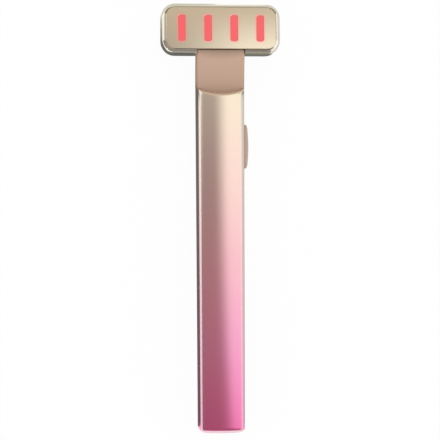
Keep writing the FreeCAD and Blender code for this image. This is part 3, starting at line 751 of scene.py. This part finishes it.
# Polycarbonate, tinted red and lit from behind: a salmon glow under a smooth skin, dimmer towards the edges.
glow, tree = new_material("polycarbonate_red_backlit")
lit_share = add(tree, "ShaderNodeAttribute", {}, attribute_name="lit")
shine = add(
    tree, "ShaderNodeMix",
    {0: lit_share.outputs["Fac"], 6: linear("#D66C67"), 7: linear("#F45C61")}, data_type="RGBA",
)
lamp_red = add(
    tree, "ShaderNodeBsdfPrincipled",
    {
        "Base Color": linear("#3A0A0C"), "Roughness": 0.3, "IOR": 1.58,
        "Emission Color": shine.outputs[2], "Emission Strength": 1.0,
    },
)
add(tree, "ShaderNodeOutputMaterial", {"Surface": lamp_red.outputs["BSDF"]})

guide = make_piece(guide, "light_bars", glow)
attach(guide, "wand")
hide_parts("light_guide")

# Studio: a white paper sweep under an even white dome, with cards that only reflections show. One hangs over
# the handle and one over the head, and the others stand, lie or hang round the wand, so that its edges read
# against the white. Places and sizes of the sweep and the cards are in metres.
floor_half = 3.0
floor_level = -0.2 * mm
floor_mesh = bpy.data.meshes.new("floor")
floor_bm = bmesh.new()
bmesh.ops.create_grid(
    floor_bm, x_segments=1, y_segments=1, size=floor_half, matrix=Matrix.Translation((0, 0, floor_level))
)
floor_bm.to_mesh(floor_mesh)
floor_bm.free()
floor = bpy.data.objects.new("floor", floor_mesh)
bpy.context.scene.collection.objects.link(floor)

# Paper, uncoated: white to the camera and in reflections, with a faint shadow from its matte share.
white_share = 0.95
paper, tree = new_material("paper_sweep_matte_white")
ray = add(tree, "ShaderNodeLightPath", {})
seen = ray.outputs["Is Camera Ray"]
for kind in ("Is Glossy Ray", "Is Transmission Ray"):
    either = add(tree, "ShaderNodeMath", {0: seen, 1: ray.outputs[kind]}, operation="MAXIMUM")
    seen = either.outputs["Value"]
share = add(tree, "ShaderNodeMath", {0: seen, 1: white_share}, operation="MULTIPLY")
matte = add(tree, "ShaderNodeBsdfDiffuse", {"Color": linear("#FAFAFA")})
bright = add(tree, "ShaderNodeEmission", {"Color": linear("#FFFFFF"), "Strength": 1.0})
mixed = add(
    tree, "ShaderNodeMixShader",
    {0: share.outputs["Value"], 1: matte.outputs["BSDF"], 2: bright.outputs["Emission"]},
)
add(tree, "ShaderNodeOutputMaterial", {"Surface": mixed.outputs["Shader"]})
floor_mesh.materials.append(paper)


def hang_card(material, low, high, place):
    """A flat card between two corners in its own plane, put in its place, that only reflections show."""
    bm = bmesh.new()
    bm.loops.layers.uv.new("UVMap")
    spread = place @ block(Vector((*low, 0)), Vector((*high, 0)))
    bmesh.ops.create_grid(bm, x_segments=1, y_segments=1, size=0.5, matrix=spread, calc_uvs=True)
    mesh = bpy.data.meshes.new(material.name)
    bm.to_mesh(mesh)
    bm.free()
    mesh.materials.append(material)
    card = bpy.data.objects.new(material.name, mesh)
    bpy.context.scene.collection.objects.link(card)
    card.visible_camera = False
    card.visible_diffuse = False
    card.visible_shadow = False
    card.visible_transmission = False


# Card over the handle: warm grey, shaded along it, and fading to white at its right. Towards the foot the
# fade bends to the right and sharpens.
overhead_low = (-2.0, -0.6)
overhead_high = (0.4, 0.6)
overhead_place = Matrix.Translation((0.056, 0, 0.5)) @ Matrix.Rotation(math.radians(19.8), 4, "Z")
shading_reach = 0.12
fade_half = 0.09
foot_fade_half = 0.03
fade_sharpens_from = -0.04
fade_sharpens_to = -0.11
fade_bend = 6.0
graded, tree = new_material("card_overhead")
coordinates = add(tree, "ShaderNodeTexCoord", {})
spot = add(tree, "ShaderNodeSeparateXYZ", {"Vector": coordinates.outputs["UV"]})
ground = add(tree, "ShaderNodeSeparateXYZ", {"Vector": coordinates.outputs["Object"]})
stretch = add(
    tree, "ShaderNodeMapRange",
    {"Value": ground.outputs["Y"], "From Min": -shading_reach, "From Max": shading_reach},
)
along = add(
    tree, "ShaderNodeValToRGB", {"Fac": stretch.outputs["Result"]},
    stops=(
        (0, "#A0918C"), (0.2, "#A9928B"), (0.4, "#A9948E"), (0.5, "#A49694"),
        (0.6, "#8E8687"), (0.7, "#726E70"), (0.8, "#969193"), (0.9, "#B8B0B4"), (1, "#BCB4B6"),
    ),
)
crosswise = add(
    tree, "ShaderNodeMapRange",
    {"Value": spot.outputs["X"], "To Min": overhead_low[0], "To Max": overhead_high[0]},
)
footward = add(tree, "ShaderNodeMath", {0: ground.outputs["Y"], 1: 0.0}, operation="MINIMUM")
squared = add(tree, "ShaderNodeMath", {0: footward.outputs["Value"], 1: 2.0}, operation="POWER")
bend = add(tree, "ShaderNodeMath", {0: squared.outputs["Value"], 1: fade_bend}, operation="MULTIPLY")
bent = add(
    tree, "ShaderNodeMath", {0: crosswise.outputs["Result"], 1: bend.outputs["Value"]}, operation="SUBTRACT"
)
fade_end = add(
    tree, "ShaderNodeMapRange",
    {
        "Value": ground.outputs["Y"], "From Min": fade_sharpens_to, "From Max": fade_sharpens_from,
        "To Min": foot_fade_half, "To Max": fade_half,
    },
)
fade_start = add(tree, "ShaderNodeMath", {0: fade_end.outputs["Result"], 1: -1.0}, operation="MULTIPLY")
fade = add(
    tree, "ShaderNodeMapRange",
    {
        "Value": bent.outputs["Value"],
        "From Min": fade_start.outputs["Value"], "From Max": fade_end.outputs["Result"],
    },
)
tone = add(
    tree, "ShaderNodeMix",
    {0: fade.outputs["Result"], 6: along.outputs["Color"], 7: linear("#FFFFFF")}, data_type="RGBA",
)
shade = add(tree, "ShaderNodeEmission", {"Color": tone.outputs[2], "Strength": 1.0})
add(tree, "ShaderNodeOutputMaterial", {"Surface": shade.outputs["Emission"]})
hang_card(graded, overhead_low, overhead_high, overhead_place)

# Card over the head: shaded between four corners, grey at the near left and white at the near right.
grey_x, white_x = -0.005, 0.0235
near_y, far_y = 0.0875, 0.102
head_card_level = 0.15
shaded, tree = new_material("card_over_head")
coordinates = add(tree, "ShaderNodeTexCoord", {})
spot = add(tree, "ShaderNodeSeparateXYZ", {"Vector": coordinates.outputs["Object"]})
to_right = add(
    tree, "ShaderNodeMapRange", {"Value": spot.outputs["X"], "From Min": grey_x, "From Max": white_x}
)
to_top = add(
    tree, "ShaderNodeMapRange", {"Value": spot.outputs["Y"], "From Min": near_y, "From Max": far_y}
)
near = add(
    tree, "ShaderNodeMix",
    {0: to_right.outputs["Result"], 6: linear("#AAA5A4"), 7: linear("#FFFFFF")}, data_type="RGBA",
)
far = add(
    tree, "ShaderNodeMix",
    {0: to_right.outputs["Result"], 6: linear("#C5BBB1"), 7: linear("#BCB4AA")}, data_type="RGBA",
)
tone = add(
    tree, "ShaderNodeMix",
    {0: to_top.outputs["Result"], 6: near.outputs[2], 7: far.outputs[2]}, data_type="RGBA",
)
shade = add(tree, "ShaderNodeEmission", {"Color": tone.outputs[2], "Strength": 1.0})
add(tree, "ShaderNodeOutputMaterial", {"Surface": shade.outputs["Emission"]})
hang_card(shaded, (-0.25, 0.07), (0.25, 0.35), Matrix.Translation((0, 0, head_card_level)))


def plain_card(name, code, low, high, place):
    """A card of one shade."""
    material, tree = new_material(name)
    shade = add(tree, "ShaderNodeEmission", {"Color": linear(code), "Strength": 1.0})
    add(tree, "ShaderNodeOutputMaterial", {"Surface": shade.outputs["Emission"]})
    hang_card(material, low, high, place)


# Standing cards: one leans in front of the foot, two stand far off at the sides, and the others stand behind,
# before the head, and close to the neck and the foot.
leaning = Matrix.Translation((0, -0.45, 0)) @ Matrix.Rotation(math.radians(81.5), 4, "X")
plain_card("card_in_front", "#8E8E8E", (-0.45, 0), (0.35, 1.0), leaning)
sideways = Matrix.Rotation(math.radians(-90), 4, "Y")
plain_card("card_at_left", "#646060", (0.08, -1.0), (0.6, 0.16), Matrix.Translation((-1.2, 0, 0)) @ sideways)
plain_card("card_at_right", "#D4D4D4", (0, 0.16), (0.28, 1.0), Matrix.Translation((1.0, 0, 0)) @ sideways)
standing_cards = (
    ("card_behind", "#D4D4D0", 0.6, (-1.0, 0), (1.0, 1.0)),
    ("card_back_corner", "#7E7264", 0.59, (-0.54, 0.2), (-0.22, 0.62)),
    ("card_back_corner", "#7E7264", 0.59, (0.37, 0.2), (0.69, 0.62)),
    ("card_before_head", "#857A74", -0.33, (0.059, 0.25), (0.13, 0.495)),
    ("card_beside_neck", "#8C8880", 0.045, (0.0095, 0.001), (0.024, 0.0125)),
    ("card_at_foot", "#EDEDED", -0.085, (-0.014, 0), (0.016, 0.025)),
)
upright = Matrix.Rotation(math.radians(90), 4, "X")
for name, code, place_y, low, high in standing_cards:
    plain_card(name, code, low, high, Matrix.Translation((0, place_y, 0)) @ upright)

# Lying cards: stacked just above the floor, dark at the left, pale at the right, and in steps under the head.
lying_cards = (
    ("card_left_floor", "#6A6A6A", (-0.028, -0.074), (0, 0.045)),
    ("card_under_head", "#6A6A6A", (-0.06, 0.045), (0, 0.0745)),
    ("card_under_head", "#7C7C7A", (-0.06, 0.062), (0, 0.0745)),
    ("card_under_head", "#94948F", (-0.06, 0.065), (0, 0.0745)),
    ("card_under_head", "#ACACA6", (-0.06, 0.068), (0, 0.0745)),
    ("card_under_head", "#C4C4BC", (-0.06, 0.071), (0, 0.0745)),
    ("card_behind_head", "#CFCFC2", (-0.06, 0.076), (0, 0.3)),
    ("card_under_right", "#BEBEBE", (0, -0.074), (0.021, 0.046)),
    ("card_under_head_right", "#767672", (0, 0.046), (0.021, 0.058)),
    ("card_right_floor", "#D8D8D8", (0.021, -0.5), (1.0, 0.5)),
)
lying_level = 1 * mm
card_thickness = 0.01 * mm
for layer, (name, code, low, high) in enumerate(lying_cards):
    plain_card(name, code, low, high, Matrix.Translation((0, 0, lying_level + layer * card_thickness)))

# Hanging cards: they give the rim its dark lines at the lower right corner, the top and the upper corners.
plain_card("card_over_corner", "#453F38", (0.08, -0.36), (0.26, -0.29), Matrix.Translation((0, 0, 0.49)))
plain_card("card_past_head", "#BCB1A6", (-0.07, 0.3), (0.14, 0.5), Matrix.Translation((0, 0, 0.148)))
for start, turn in (((-0.105, 0.24, 0.147), 56), ((0.175, 0.26, 0.147), -52)):
    aslant = Matrix.Translation(start) @ Matrix.Rotation(math.radians(turn), 4, "Z")
    plain_card("card_past_corner", "#968B80", (-0.1, 0), (0.1, 0.3), aslant)

world = bpy.data.worlds.new("white_dome")
world.use_nodes = True
world.node_tree.nodes["Background"].inputs["Color"].default_value = linear("#FFFFFF")
world.node_tree.nodes["Background"].inputs["Strength"].default_value = 1.0
bpy.context.scene.world = world
bpy.context.scene.view_settings.view_transform = "Standard"

# Camera: above the wand, a little to the left, far off with a long lens. The shifts are in pixels.
picture_side = 440
camera_distance = 600 * mm
pixels_per_mm = 2.838
view_yaw = math.radians(5.5)
view_rise = math.radians(-1.4)
view_roll = math.radians(-0.3)
aim = Vector((0, 0, 10 * mm))
shift_right = 0.9
shift_up = 2.1
pixel = mm / pixels_per_mm
optics = bpy.data.cameras.new("camera")
optics.sensor_width = 36.0
optics.lens = optics.sensor_width * camera_distance / (picture_side * pixel)
camera = bpy.data.objects.new("camera", optics)
bpy.context.scene.collection.objects.link(camera)
turned = Matrix.Rotation(-view_yaw, 4, "Y") @ Matrix.Rotation(-view_rise, 4, "X")
turned = turned @ Matrix.Rotation(view_roll, 4, "Z")
offset = Vector((-shift_right * pixel, -shift_up * pixel, camera_distance))
camera.matrix_world = Matrix.Translation(aim) @ turned @ Matrix.Translation(offset)
bpy.context.scene.camera = camera
